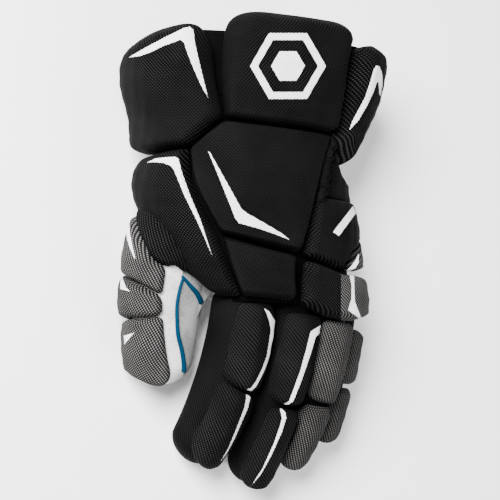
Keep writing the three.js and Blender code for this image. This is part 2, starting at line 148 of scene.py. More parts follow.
class Form:
    """A rounded form swept along the hand, a finger or the thumb, in millimetres."""

    def __init__(self, centres, sizes, rolls, squareness, upright=False):
        self.centres = centres
        self.sizes = sizes
        self.rolls = [(r, 0, 0) for r in rolls]
        self.squareness = squareness
        self.upright = upright
        walk = curve_through(centres, np.linspace(0, 1, 201))
        self.length = np.linalg.norm(np.diff(walk, axis=0), axis=1).sum()
        middle = curve_through(sizes, 0.5)[0]
        self.quarter = (middle[0] + middle[1]) * 0.8

    def frame(self, along):
        along = np.atleast_1d(along)
        t = np.clip(along, 0, 1)
        if self.upright:
            tangent = np.tile((0.0, -1.0, 0.0), (len(t), 1))
        else:
            ahead = curve_through(self.centres, np.clip(t + 1e-4, 0, 1))
            tangent = ahead - curve_through(self.centres, np.clip(t - 1e-4, 0, 1))
            tangent /= np.linalg.norm(tangent, axis=1, keepdims=True)
        centre = curve_through(self.centres, t) + tangent * ((along - t) * self.length)[:, None]
        roll = np.radians(curve_through(self.rolls, t)[:, :1])
        side = np.array((1.0, 0, 0)) - tangent * tangent[:, :1]
        side /= np.linalg.norm(side, axis=1, keepdims=True)
        up = np.cross(tangent, side)
        across = side * np.cos(roll) - up * np.sin(roll)
        back = up * np.cos(roll) + side * np.sin(roll)
        return centre, across, back, curve_through(self.sizes, t)

    def point(self, along, across, offset=0.0, taper=1.0):
        """Points by share along, share across (-1 thumb side, 0 back, 1 outer) and height over the skin."""
        along, across, offset, taper = np.broadcast_arrays(along, across, offset, taper)
        shape = along.shape
        centre, side, back, size = self.frame(along.ravel())
        angle = (math.pi / 2 * (1 - across)).ravel()
        c, s = np.cos(angle), np.sin(angle)
        power = 2 / self.squareness
        c = np.sign(c) * np.abs(c) ** power
        height = np.where(s > 0, size[:, 1], size[:, 2])
        s = np.sign(s) * np.abs(s) ** power
        o, k = offset.ravel(), taper.ravel()
        p = centre + side * ((size[:, 0] + o) * c * k)[:, None] + back * ((height + o) * s * k)[:, None]
        return p.reshape(*shape, 3)

    def seam(self, along, drop):
        """The share across at which the side seam runs, drop below the centre line."""
        size = curve_through(self.sizes, along)
        return 1 + np.degrees(np.arcsin((drop / size[:, 2]) ** (self.squareness / 2))) / 90


hand = Form(
    [
        (s[0] * HAND_WIDTH, KNUCKLE_Y + HAND_LENGTH * (1 - i / 8), s[1] * HAND_DEPTH)
        for i, s in enumerate(HAND_SECTIONS)
    ],
    [(s[2] * HAND_WIDTH, s[3] * HAND_DEPTH, s[4] * HAND_DEPTH) for s in HAND_SECTIONS],
    [s[5] for s in HAND_SECTIONS],
    2.5,
    upright=True,
)


def sheet_of(name, points, closed=False):
    """A grid of points as a mesh in metres, with a map in millimetres along the cloth."""
    rows, cols = points.shape[:2]
    p = (points.reshape(-1, 3) - ORIGIN) * MM
    p[:, 2] = np.maximum(p[:, 2], FLOOR_CLEARANCE)
    faces = []
    for r in range(rows - 1):
        for c in range(cols if closed else cols - 1):
            d = (c + 1) % cols
            faces.append((r * cols + c, (r + 1) * cols + c, (r + 1) * cols + d, r * cols + d))
    mesh = bpy.data.meshes.new(name)
    mesh.from_pydata(p.tolist(), [], faces)
    steps_down = np.linalg.norm(np.diff(points, axis=0), axis=2)
    steps_across = np.linalg.norm(np.diff(points, axis=1), axis=2)
    down = np.vstack([np.zeros((1, cols)), np.cumsum(steps_down, axis=0)])
    across = np.hstack([np.zeros((rows, 1)), np.cumsum(steps_across, axis=1)])
    middle = cols // 2
    u = across - across[:, middle : middle + 1]
    v = np.repeat(down[:, middle : middle + 1], cols, axis=1)
    u, v = u.ravel(), v.ravel()
    layer = mesh.uv_layers.new(name="cloth")
    index = np.empty(len(mesh.loops), int)
    mesh.loops.foreach_get("vertex_index", index)
    layer.data.foreach_set("uv", np.stack([u[index], v[index]], 1).ravel())
    mesh.polygons.foreach_set("use_smooth", [True] * len(mesh.polygons))
    piece = bpy.data.objects.new(name, mesh)
    bpy.context.scene.collection.objects.link(piece)
    return piece


def apply_all(piece):
    """Applies every modifier on the piece."""
    bpy.context.view_layer.objects.active = piece
    for modifier in list(piece.modifiers):
        bpy.ops.object.modifier_apply(modifier=modifier.name)


def point_outwards(piece):
    """Makes a closed piece's faces point out, whichever way its grid ran."""
    shape = bmesh.new()
    shape.from_mesh(piece.data)
    bmesh.ops.remove_doubles(shape, verts=shape.verts, dist=1e-6)
    bmesh.ops.recalc_face_normals(shape, faces=shape.faces)
    if shape.calc_volume(signed=True) < 0:
        bmesh.ops.reverse_faces(shape, faces=shape.faces)
    shape.to_mesh(piece.data)
    shape.free()


def outer_side_up(piece, form):
    """Turns an open sheet's faces away from its form's centre line, before it gets its thickness."""
    shape = bmesh.new()
    shape.from_mesh(piece.data)
    bmesh.ops.remove_doubles(shape, verts=shape.verts, dist=1e-6)
    bmesh.ops.recalc_face_normals(shape, faces=shape.faces)
    centres = (curve_through(form.centres, np.linspace(0, 1, 60)) - ORIGIN) * MM
    outwards = 0
    for face in shape.faces:
        middle = np.array(face.calc_center_median())
        nearest = centres[((centres - middle) ** 2).sum(1).argmin()]
        outwards += face.normal.dot(Vector(middle - nearest)) * face.calc_area()
    if outwards < 0:
        bmesh.ops.reverse_faces(shape, faces=shape.faces)
    shape.to_mesh(piece.data)
    shape.free()


def give_wall(piece, form, wall):
    """A wall of that thickness, in millimetres, inside the sheet."""
    outer_side_up(piece, form)
    solidify = piece.modifiers.new("wall", "SOLIDIFY")
    solidify.thickness = wall * MM
    solidify.offset = -1
    solidify.use_even_offset = False
    apply_all(piece)


def joined(name, pieces):
    """Several meshes as one piece."""
    bpy.ops.object.select_all(action="DESELECT")
    for p in pieces:
        p.select_set(True)
    bpy.context.view_layer.objects.active = pieces[0]
    if len(pieces) > 1:
        bpy.ops.object.join()
    pieces[0].name = name
    pieces[0].data.name = name
    bpy.ops.object.select_all(action="DESELECT")
    return pieces[0]


def mesh_cloth(name, thread, gap, pitch, turn, relief, printed=True, second=None):
    """Woven mesh over foam: slanting ribs crossed by finer ones, with a white print where there is one."""
    look = bpy.data.materials.new(name)
    look.use_nodes = True
    nodes, links = look.node_tree.nodes, look.node_tree.links
    shader = nodes["Principled BSDF"]
    shader.inputs["Roughness"].default_value = 0.72
    shader.inputs["Specular IOR Level"].default_value = 0.02

    def node(kind, **settings):
        made = nodes.new(kind)
        for key, value in settings.items():
            setattr(made, key, value)
        return made

    def math_node(operation, a, b=None):
        made = node("ShaderNodeMath", operation=operation)
        for slot, value in enumerate((a, b)):
            if value is None:
                continue
            if isinstance(value, (int, float)):
                made.inputs[slot].default_value = value
            else:
                links.new(value, made.inputs[slot])
        return made.outputs[0]

    cloth = node("ShaderNodeUVMap", uv_map="cloth")

    def noise(scale, detail):
        made = node("ShaderNodeTexNoise")
        made.inputs["Scale"].default_value = scale
        made.inputs["Detail"].default_value = detail
        links.new(cloth.outputs[0], made.inputs["Vector"])
        return made.outputs["Fac"]

    mapping = node("ShaderNodeMapping")
    mapping.inputs["Rotation"].default_value = (0, 0, math.radians(turn))
    links.new(cloth.outputs[0], mapping.inputs["Vector"])
    drift = math_node("MULTIPLY", math_node("SUBTRACT", noise(0.07, 1), 0.5), pitch * 0.7)
    split = node("ShaderNodeSeparateXYZ")
    links.new(mapping.outputs[0], split.inputs[0])
    x = math_node("ADD", split.outputs[0], drift)
    y = math_node("ADD", split.outputs[1], drift)
    rib = math_node("SINE", math_node("MULTIPLY", x, 2 * math.pi / pitch))
    cross = math_node("SINE", math_node("MULTIPLY", y, 2 * math.pi / (pitch * 0.75)))
    lifted = math_node("MULTIPLY", math_node("ADD", rib, 1), 0.5)
    crossed = math_node("MULTIPLY", math_node("ADD", cross, 1), 0.5)
    weave = math_node("MULTIPLY", lifted, math_node("ADD", math_node("MULTIPLY", crossed, 0.75), 0.25))

    grain = math_node("ADD", math_node("MULTIPLY", noise(2.2, 3), 0.9), 0.55)
    patches = math_node("ADD", math_node("MULTIPLY", noise(0.035, 2), 0.8), 0.6)
    colour = node("ShaderNodeValToRGB")
    colour.color_ramp.elements[0].position = 0.36
    colour.color_ramp.elements[0].color = gap
    colour.color_ramp.elements[1].position = 0.95
    colour.color_ramp.elements[1].color = thread
    varied = math_node("MULTIPLY", math_node("MULTIPLY", weave, grain), patches)
    links.new(varied, colour.inputs["Fac"])
    surface = colour.outputs["Color"]

    if second is not None:
        region = node("ShaderNodeAttribute", attribute_name="second_cloth")
        choose = node("ShaderNodeMix", data_type="RGBA")
        other = node("ShaderNodeValToRGB")
        other.color_ramp.elements[0].position = 0.3
        other.color_ramp.elements[0].color = second[1]
        other.color_ramp.elements[1].position = 0.9
        other.color_ramp.elements[1].color = second[0]
        links.new(varied, other.inputs["Fac"])
        links.new(math_node("GREATER_THAN", region.outputs["Fac"], 0.0), choose.inputs["Factor"])
        links.new(surface, choose.inputs["A"])
        links.new(other.outputs["Color"], choose.inputs["B"])
        surface = choose.outputs["Result"]

    if printed:
        stripe = node("ShaderNodeAttribute", attribute_name="print")
        ragged = math_node("MULTIPLY", math_node("SUBTRACT", weave, 0.5), 0.5)
        painted = node("ShaderNodeMapRange")
        painted.inputs["From Min"].default_value = -0.12
        painted.inputs["From Max"].default_value = 0.12
        links.new(math_node("ADD", stripe.outputs["Fac"], ragged), painted.inputs["Value"])
        paint = node("ShaderNodeMix", data_type="RGBA")
        paint_tone = node("ShaderNodeMix", data_type="RGBA")
        paint_tone.inputs["A"].default_value = (0.72, 0.72, 0.72, 1)
        paint_tone.inputs["B"].default_value = (0.86, 0.86, 0.86, 1)
        links.new(weave, paint_tone.inputs["Factor"])
        links.new(painted.outputs[0], paint.inputs["Factor"])
        links.new(surface, paint.inputs["A"])
        links.new(paint_tone.outputs["Result"], paint.inputs["B"])
        surface = paint.outputs["Result"]
    links.new(surface, shader.inputs["Base Color"])

    bed = node("ShaderNodeBump")
    bed.inputs["Strength"].default_value = 0.35
    bed.inputs["Distance"].default_value = 0.0012
    links.new(noise(0.12, 3), bed.inputs["Height"])
    bump = node("ShaderNodeBump")
    bump.inputs["Strength"].default_value = 0.6
    bump.inputs["Distance"].default_value = relief * MM
    links.new(weave, bump.inputs["Height"])
    links.new(bed.outputs["Normal"], bump.inputs["Normal"])
    links.new(bump.outputs["Normal"], shader.inputs["Normal"])
    return look


BLACK_THREAD = (0.0185, 0.0176, 0.0181, 1)
BLACK_GAP = (0.0004, 0.0004, 0.0004, 1)
liner_cloth = mesh_cloth("liner_mesh", (0.005, 0.005, 0.0052, 1), BLACK_GAP, 1.4, 45, 0.2, printed=False)

cuff_along = np.linspace(LINER_END, PALM_END, 24)[:, None]
cuff_tube = sheet_of("cuff_tube", hand.point(cuff_along, np.linspace(-1, 3, 145)[None, :-1]), closed=True)
back_along = np.linspace(PALM_END, BACK_END, 62)[:, None]
SEAM_PAST_END = 0.7
side_seam = hand.seam(np.clip(back_along.ravel(), 0, 1), SEAM_DROP - GAP)[:, None]
side_seam = side_seam * np.where(back_along > 1, SEAM_PAST_END, 1)
back_sheet = sheet_of("back_sheet", hand.point(back_along, side_seam * np.linspace(-1, 1, 81)[None, :]))
back_liner = joined("liner_back", [cuff_tube, back_sheet])
give_wall(back_liner, hand, LINER_WALL)
back_liner.data.materials.append(liner_cloth)
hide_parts("back_liner")
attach(back_liner, "root")

# Fingers
# Each finger is a tube of smooth dark stretch cloth over the back and sides, 2 mm thick, closed at the tip.
# The pads are sewn on top of it, and the suede of the palm closes it underneath.
FINGER_WIDTH = 26.0
FINGER_DEPTH = 28.0
FINGER_LENGTH = 126.0
FINGER_WALL = 2.0
FINGER_SEAM_DROP = 10.0
TIP_NARROWS = 0.18
ROOT_NARROWS = 0.14
ROOT_START = -0.1
ROOT_SIZE = 0.62
# name, across, lift, long, wide, deep, drop, curl, splay, lean, roll
FINGERS = [
    ("index", -0.1, 0.9, 0.9, 1.24, 1.18, 8, 39, 1, 24, 20),
    ("middle", 0.17, 0.95, 1.0, 1.14, 1.0, 8, 36, 4, 11, 6),
    ("ring", 0.375, 0.92, 0.9, 1.08, 1.0, 10, 40, 4, 8, 6),
    ("little", 0.52, 0.62, 0.74, 0.94, 0.96, 8, 28, 3, 5, 20),
]


def finger_form(across, lift, long, wide, deep, drop, curl, splay, lean, roll):
    """A finger's form from its place at the knuckles, its sizes and the angles that it bends through."""
    length = long * FINGER_LENGTH
    at = np.array((across * HAND_WIDTH, KNUCKLE_Y, lift * HAND_DEPTH))
    centres, sizes = [], []
    for i in range(6):
        slope = math.radians(drop + (curl - drop) * i / 5)
        turn = math.radians(splay + (lean - splay) * i / 5)
        centres.append(tuple(at))
        half = deep * FINGER_DEPTH / 2
        sizes.append((wide * FINGER_WIDTH * (1 - TIP_NARROWS * i / 5) / 2, half, half))
        ahead = np.array((-math.sin(turn), -math.cos(slope) * math.cos(turn), -math.sin(slope)))
        at = at + length / 5 * ahead
    return Form(centres, sizes, [roll] * 6, 2.4)


def nosed(form, start, nose, steps=48, root=1.0):
    """Shares along and tapers of a form with a round nose at its far end and a root narrowed to a share."""
    straight = 1 - nose / form.length
    turn = np.radians(np.linspace(0, 89.5, 12))[1:]
    rounded = straight + nose / form.length * np.sin(turn)
    along = np.concatenate([np.linspace(start, straight, steps), rounded])
    narrow = root + (1 - root) * np.sin(np.clip((along[:steps] - start) / ROOT_NARROWS, 0, 1) * math.pi / 2)
    taper = np.concatenate([narrow, np.cos(turn)])
    return along[:, None], taper[:, None]


PUFF = {"index": 7.0, "middle": 1.0, "ring": 0.0, "little": 0.0}
PUFF_START = 0.06
STRETCH_THREAD = (0.0155, 0.015, 0.0146, 1)
finger_cloth = mesh_cloth("stretch_cloth", STRETCH_THREAD, BLACK_GAP, 1.6, 40, 0.16, printed=False)
fingers = {}
for name, *measures in FINGERS:
    form = finger_form(*measures)
    fingers[name] = form
    along, taper = nosed(form, ROOT_START, FINGER_DEPTH / 2, root=ROOT_SIZE)
    seam = form.seam(np.clip(along.ravel(), 0, 1), FINGER_SEAM_DROP - GAP)[:, None]
    across = seam * np.linspace(-1, 1, 73)[None, :]
    swelling = np.sin(np.clip((along + PUFF_START) / (1 + PUFF_START), 0, 1) * math.pi) ** 0.6
    puff = PUFF[name] * np.exp(-(((across + 1.05) / 0.5) ** 2)) * swelling
    gusset = sheet_of(name + "_side_cloth", form.point(along, across, puff, taper))
    give_wall(gusset, form, FINGER_WALL)
    gusset.data.materials.append(finger_cloth)
    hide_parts(name + "_gusset")
    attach(gusset, "root")

# Palm
# Pale brushed suede over the palm and under the fingers, 2 to 2.4 mm thick and closed at the fingertips.
# It is pressed flat where the heel and the little finger's tip rest.
suede_look = bpy.data.materials.new("pale_suede")


def suede(look, light, dark):
    """Brushed suede: soft cloudy nap, fine fibres and a low sheen."""
    look.use_nodes = True
    nodes, links = look.node_tree.nodes, look.node_tree.links
    shader = nodes["Principled BSDF"]
    shader.inputs["Roughness"].default_value = 0.92
    shader.inputs["Sheen Weight"].default_value = 0.25
    shader.inputs["Sheen Roughness"].default_value = 0.6
    shader.inputs["Specular IOR Level"].default_value = 0.2
    place = nodes.new("ShaderNodeTexCoord")
    nap = nodes.new("ShaderNodeTexNoise")
    nap.inputs["Scale"].default_value = 45
    nap.inputs["Detail"].default_value = 4
    fibre = nodes.new("ShaderNodeTexNoise")
    fibre.inputs["Scale"].default_value = 900
    fibre.inputs["Detail"].default_value = 3
    wrinkle = nodes.new("ShaderNodeTexNoise")
    wrinkle.inputs["Scale"].default_value = 90
    wrinkle.inputs["Detail"].default_value = 2
    for texture in (nap, fibre, wrinkle):
        links.new(place.outputs["Object"], texture.inputs["Vector"])
    blend = nodes.new("ShaderNodeMath")
    blend.operation = "MULTIPLY_ADD"
    links.new(fibre.outputs["Fac"], blend.inputs[0])
    blend.inputs[1].default_value = 0.6
    links.new(nap.outputs["Fac"], blend.inputs[2])
    colour = nodes.new("ShaderNodeValToRGB")
    colour.color_ramp.elements[0].position = 0.5
    colour.color_ramp.elements[0].color = dark
    colour.color_ramp.elements[1].position = 0.9
    colour.color_ramp.elements[1].color = light
    links.new(blend.outputs[0], colour.inputs["Fac"])
    links.new(colour.outputs["Color"], shader.inputs["Base Color"])
    soft = nodes.new("ShaderNodeBump")
    soft.inputs["Strength"].default_value = 0.4
    soft.inputs["Distance"].default_value = 0.0008
    links.new(wrinkle.outputs["Fac"], soft.inputs["Height"])
    fine = nodes.new("ShaderNodeBump")
    fine.inputs["Strength"].default_value = 0.5
    fine.inputs["Distance"].default_value = 0.0002
    links.new(fibre.outputs["Fac"], fine.inputs["Height"])
    links.new(soft.outputs["Normal"], fine.inputs["Normal"])
    links.new(fine.outputs["Normal"], shader.inputs["Normal"])


suede(suede_look, (0.66, 0.657, 0.65, 1), (0.27, 0.268, 0.263, 1))
PALM_LIP = 0.07
PALM_TURN = 0.4
palm_along = np.linspace(PALM_END, 1 + PALM_LIP, 68)[:, None]
palm_seam = hand.seam(np.clip(palm_along.ravel(), 0, 1), SEAM_DROP)[:, None]
palm_turn = 1 - PALM_TURN * (1 - np.cos(np.clip((palm_along - 1) / PALM_LIP, 0, 1) * math.pi / 2))
palm_across = palm_seam + (4 - 2 * palm_seam) * np.linspace(0, 1, 81)[None, :]
palm_sheet = sheet_of("palm_sheet", hand.point(palm_along, palm_across, 0, palm_turn))
give_wall(palm_sheet, hand, LINER_WALL)
palm_parts = [palm_sheet]
for name, form in fingers.items():
    along, taper = nosed(form, ROOT_START, FINGER_DEPTH / 2, root=ROOT_SIZE)
    seam = form.seam(np.clip(along.ravel(), 0, 1), FINGER_SEAM_DROP)[:, None]
    face_across = seam + (4 - 2 * seam) * np.linspace(0, 1, 49)[None, :]
    face = sheet_of(name + "_face", form.point(along, face_across, 0, taper))
    give_wall(face, form, FINGER_WALL)
    palm_parts.append(face)
palm = joined("palm_suede", palm_parts)
palm.data.materials.append(suede_look)
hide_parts("palm_leather")
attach(palm, "root")

# Cuff pads
# Three thick foam pads under black mesh that stand off round the wrist, each sewn down along its edge.
# The thumb-side and outer ones carry a white printed chevron, and the middle one a plain hexagon mark.
CUFF_THICK = 16.0


def seam_line(host, corners, count):
    """The pad's outline on its host's skin, in millimetres, with its corners rounded and evenly stepped."""
    points = np.array([(a * host.length, c * host.quarter) for a, c, _ in corners])
    n = len(points)
    outline = []
    for i in range(n):
        here, before, after = points[i], points[i - 1], points[(i + 1) % n]
        enter = here + (before - here) * min(0.45, corners[i][2] / np.linalg.norm(before - here))
        leave = here + (after - here) * min(0.45, corners[i][2] / np.linalg.norm(after - here))
        t = np.linspace(0, 1, 12)[:, None]
        outline.append((1 - t) ** 2 * enter + 2 * t * (1 - t) * here + t**2 * leave)
    outline = np.vstack(outline)
    closed = np.vstack([outline, outline[:1]])
    steps = np.concatenate([[0], np.cumsum(np.linalg.norm(np.diff(closed, axis=0), axis=1))])
    at = np.linspace(0, steps[-1], count, endpoint=False)
    return np.stack([np.interp(at, steps, closed[:, k]) for k in (0, 1)], 1)


def picture_place(points):
    """Where points in metres are seen in the view's 500 by 500 frame."""
    q = points - np.array(AIM)
    depth = VIEW_DISTANCE - q @ np.array(view_back)
    scale = VIEW_DISTANCE / depth / (FRAME_WIDTH / 500)
    return np.stack([250 + (q @ np.array(view_right)) * scale, 250 - (q @ np.array(view_up)) * scale], 1)


def inside_distance(points, outline):
    """Distance into a closed outline, negative outside it."""
    outline = np.array(outline, float)
    ends = np.roll(outline, -1, axis=0)
    nearest = np.full(len(points), 1e9)
    inside = np.zeros(len(points), bool)
    for a, b in zip(outline, ends):
        ab = b - a
        t = np.clip(((points - a) @ ab) / (ab @ ab), 0, 1)
        nearest = np.minimum(nearest, np.linalg.norm(points - (a + t[:, None] * ab), axis=1))
        if a[1] != b[1]:
            hit = (points[:, 1] > min(a[1], b[1])) & (points[:, 1] <= max(a[1], b[1]))
            inside ^= hit & (points[:, 0] < a[0] + (points[:, 1] - a[1]) * (b[0] - a[0]) / (b[1] - a[1]))
    return np.where(inside, nearest, -nearest)


FACING = 0.06


def mark(piece, layer, outlines, holes=(), islands=()):
    """Stores how far each vertex that faces the view is inside the outlines, on a finer mesh there."""
    mesh = piece.data
    for level in range(3):
        place = np.empty(len(mesh.vertices) * 3)
        mesh.vertices.foreach_get("co", place)
        normal = np.empty(len(mesh.vertices) * 3)
        mesh.vertices.foreach_get("normal", normal)
        seen = picture_place(place.reshape(-1, 3))
        value = np.full(len(seen), -9.0)
        for outline in outlines:
            value = np.maximum(value, inside_distance(seen, outline))
        for hole in holes:
            value = np.minimum(value, -inside_distance(seen, hole))
        for island in islands:
            value = np.maximum(value, inside_distance(seen, island))
        facing = normal.reshape(-1, 3) @ np.array(view_back) > FACING
        value = np.where(facing, np.clip(value, -3, 3), -3.0)
        if level == 2 or not outlines:
            break
        near = (np.abs(value) < (2.5, 1.5)[level]) & facing
        shape = bmesh.new()
        shape.from_mesh(mesh)
        edges = [e for e in shape.edges if near[e.verts[0].index] and near[e.verts[1].index]]
        bmesh.ops.subdivide_edges(shape, edges=edges, cuts=1, use_grid_fill=True)
        shape.to_mesh(mesh)
        shape.free()
    mesh.attributes.new(layer, "FLOAT", "POINT").data.foreach_set("value", value)


def foam_pad(name, host, corners, thick, roll, count=160, crown=1.08, bevel=0.5, ridge=None):
    """A crowned foam pad under stretched cloth, closed underneath, with its seam on the host's skin."""
    seam = seam_line(host, corners, count)
    heart = seam.mean(0)
    reach = np.linalg.norm(seam - heart, axis=1, keepdims=True)
    out = (seam - heart) / reach
    shoulder = 0.42 * thick
    rows = [(heart + (seam - heart) * k - out * 1.4 * k, 0.3, 0.0) for k in (0.0, 0.5, 0.9, 1.0)]
    for k in np.linspace(0, 1, 8)[1:]:
        rows.append((seam - out * 1.4 * (1 - k) ** 2, 0.3 + (shoulder - 0.3) * k, (1 - k) * shoulder))
    wrist_roll, finger_roll = roll
    ends = seam[:, 0].min(), seam[:, 0].max()
    band = np.minimum(1.7 * max(roll), 0.6 * reach)
    for k in np.linspace(0, 1, 15)[1:]:
        rows.append((seam - out * band * k, None, 0.0))
    for k in np.linspace(0, 1, 26)[1:]:
        rows.append((heart + out * (reach - band) * (1 - k), None, 0.0))
    points, cloth = [], []
    for place, height, drop in rows:
        if height is None:
            rolled = np.interp(place[:, 0], ends, (wrist_roll, finger_roll))
            x = np.clip(inside_distance(place, seam) / rolled, 0, 1)
            edge = (1 - bevel) * np.sin(x * math.pi / 2) ** 0.85 + bevel * (x + 0.16 * np.sin(x * math.pi))
            share = np.linalg.norm(place - heart, axis=1) / reach[:, 0]
            height = shoulder + (thick - shoulder) * edge + (crown - 1) * thick * (1 - share**2)
            if ridge is not None:
                height = height - ridge(place, heart) * np.clip(x * 1.5, 0, 1)
            x_at, y_at = place[:, 0], place[:, 1]
            swell = np.sin(x_at * 0.43 + y_at * 0.31) * np.sin(x_at * 0.21 - y_at * 0.37 + 1.3)
            pucker = np.sin(x_at * 0.9 + np.sin(y_at * 0.35) * 2) * np.sin(y_at * 1.05 + x_at * 0.15)
            height = height + 0.28 * swell * x + 0.22 * pucker * x * (1 - x) * 4
        along, across = place[:, 0] / host.length, place[:, 1] / host.quarter
        points.append(host.point(along, across, height))
        cloth.append(place + out * drop)
    piece = sheet_of(name, np.array(points), closed=True)
    uv = np.array(cloth).reshape(-1, 2)
    middle = heart[1] / host.quarter
    across = middle + (uv[:, 1:] / host.quarter - middle) * np.linspace(0, 1, 9)
    arc = np.linalg.norm(np.diff(host.point(uv[:, :1] / host.length, across, thick), axis=1), axis=2).sum(1)
    uv[:, 1] = np.sign(uv[:, 1] - heart[1]) * arc
    index = np.empty(len(piece.data.loops), int)
    piece.data.loops.foreach_get("vertex_index", index)
    piece.data.uv_layers["cloth"].data.foreach_set("uv", uv[index].ravel())
    point_outwards(piece)
    return piece


def press_out(piece, neighbours, margin=0.3):
    """Pushes the piece's cloth back out of the neighbours it would run into."""
    shape = bmesh.new()
    for other in neighbours:
        shape.from_mesh(other.data)
    tree = BVHTree.FromBMesh(shape)
    shape.free()
    for vertex in piece.data.vertices:
        place, normal, _, _ = tree.find_nearest(vertex.co, 0.03)
        if place is not None and (vertex.co - place).dot(normal) < margin * MM:
            vertex.co = place + normal * margin * MM


def dress(piece, look, slot, *nodes, fill=0.8):
    """Gives a foam piece its cloth, and hides the plain pieces that it stands for."""
    piece.data.materials.append(look)
    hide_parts(*nodes)
    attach(piece, "root")


cuff_cloth = mesh_cloth("cuff_mesh", BLACK_THREAD, BLACK_GAP, 1.7, 55, 0.3)
# share along, share across and the rounding of each corner in millimetres
RADIAL_CORNERS = [
    (0.2, -1.28, 20), (0.112, -1.1, 9), (0.055, -0.43, 9), (0.13, -0.322, 8), (0.39, -0.305, 3),
    (0.4935, -0.572, 3), (0.508, -1.08, 6), (0.475, -1.26, 9),
]
cuff_radial = foam_pad("cuff_pad_thumb_side", hand, RADIAL_CORNERS, CUFF_THICK, (11, 3.5), 220, bevel=0.7)
mark(cuff_radial, "print", [[
    (128.7, 57.4), (145.9, 47.4), (165, 37.3), (184.2, 27.7), (189.9, 26.8), (193.4, 29.7), (194.7, 42.1),
    (199.5, 63.1), (208.1, 98), (201.4, 86.1), (193.7, 68.9), (187, 51.7), (184.2, 43), (180.4, 39.6),
    (172.7, 42.5), (163.1, 45.9), (151.7, 51.7), (140.2, 55.9),
]])
dress(cuff_radial, cuff_cloth, "black_mesh", "cuff_pad_radial")

cuff_middle_cloth = mesh_cloth("cuff_middle_mesh", BLACK_THREAD, BLACK_GAP, 1.7, -50, 0.3)
MIDDLE_CORNERS = [(0.005, -0.25, 15), (0.018, 0.37, 13), (0.404, 0.325, 5), (0.388, -0.293, 4)]
cuff_back = foam_pad("cuff_pad_middle", hand, MIDDLE_CORNERS, CUFF_THICK, (9.5, 3), 220)
HEXAGON = [(math.cos(math.radians(a)), math.sin(math.radians(a))) for a in range(0, 360, 60)]
MARK_CENTRE = (288.0, 66.0)
hexagon = lambda size: [(MARK_CENTRE[0] + size * x, MARK_CENTRE[1] + size * y) for x, y in HEXAGON]
mark(cuff_back, "print", [hexagon(38)], [hexagon(30)], [hexagon(17)])
dress(cuff_back, cuff_middle_cloth, "black_mesh", "cuff_pad_back")

OUTER_CORNERS = [
    (0.085, 0.43, 9), (0.06, 0.7, 14), (0.12, 0.98, 18), (0.28, 0.95, 22), (0.435, 0.69, 20),
    (0.53, 0.51, 9), (0.418, 0.36, 5),
]
cuff_outer = foam_pad("cuff_pad_outer_side", hand, OUTER_CORNERS, CUFF_THICK, (9.5, 7), 220)
mark(cuff_outer, "print", [[
    (349.3, 130.1), (352.5, 120.9), (365, 97.6), (370.7, 80.4), (373.6, 69.8), (376.4, 65.4), (379.7, 66.6),
    (382.4, 74.6), (382.6, 84.2), (380.5, 95.7), (379.3, 93.7), (378.4, 82.3), (376.8, 82.3), (373.6, 91.8),
    (367.8, 104.3), (358.3, 120.5),
]])
dress(cuff_outer, cuff_cloth, "black_mesh", "cuff_pad_outer")

# Back plates
# Flatter foam plates under the same mesh over the back of the hand, sewn edge to edge so that they fold.
# The two on the thumb's side carry long white printed strokes.
PLATE_THICK = 13.0
plate_cloth = mesh_cloth("plate_mesh", BLACK_THREAD, BLACK_GAP, 1.65, 45, 0.27)
side_plate_cloth = mesh_cloth("side_plate_mesh", BLACK_THREAD, BLACK_GAP, 1.7, 55, 0.3)
BACK_CORNERS = [
    (0.501, -0.568, 3), (0.393, -0.299, 3), (0.4105, 0.3, 4), (0.6, 0.2, 8), (0.852, 0.012, 3),
    (0.798, -0.462, 3),
]
back_plate = foam_pad("plate_back", hand, BACK_CORNERS, PLATE_THICK, (2, 2.8), 240, crown=1.06, bevel=0.3)
mark(back_plate, "print", [[
    (208, 151), (215.2, 168), (231.3, 208), (235, 218), (238.9, 223), (257.1, 228), (272.2, 233),
    (289.5, 239.8), (281.1, 233), (264.3, 223), (246.7, 213), (241.5, 209), (227.1, 183), (210.3, 153),
]])
dress(back_plate, plate_cloth, "black_mesh", "back_plate")
THUMB_WIDTH = 34.0
THUMB_DEPTH = 30.0
THUMB_LENGTH = 92.0
# x, y, z, wide, deep, roll
THUMB_SECTIONS = [
    (-0.31, 0.42, 0.7, 0.42, 0.6, -66),
    (-0.4, 0.1, 0.64, 0.52, 0.78, -70),
    (-0.42, -0.24, 0.56, 0.54, 0.82, -72),
    (-0.42, -0.58, 0.46, 0.52, 0.72, -72),
    (-0.4, -0.93, 0.28, 0.48, 0.54, -72),
]
thumb = Form(
    [(s[0] * HAND_WIDTH, s[1] * THUMB_LENGTH, s[2] * HAND_DEPTH) for s in THUMB_SECTIONS],
    [(s[3] * THUMB_WIDTH, s[4] * THUMB_DEPTH, s[4] * THUMB_DEPTH) for s in THUMB_SECTIONS],
    [s[5] for s in THUMB_SECTIONS],
    2.3,
)
SIDE_CORNERS = [
    (0.512, -1.1, 7), (0.4985, -0.603, 3), (0.8, -0.5, 10), (1.012, -0.615, 4), (1.012, -0.95, 6),
    (0.94, -1.03, 8), (0.9, -1.13, 8), (0.89, -1.3, 7), (0.84, -1.38, 8), (0.62, -1.36, 14),
]
side_face = foam_pad("side_face", hand, SIDE_CORNERS, PLATE_THICK, (3.5, 4), 240)
FLAP_CORNERS = [
    (0.19, -0.45, 5), (0.25, -0.3, 5), (0.32, 0.0, 5), (0.395, 0.24, 5), (0.42, 0.5, 4), (0.405, 0.66, 4),
    (0.445, 0.86, 5), (0.38, 1.0, 6), (0.2, 0.6, 6), (0.14, 0.0, 6),
]
corner_flap = foam_pad("corner_flap", thumb, FLAP_CORNERS, 7.5, (3, 3), 200, crown=1.1)
side_plate = joined("plate_thumb_side", [side_face, corner_flap])
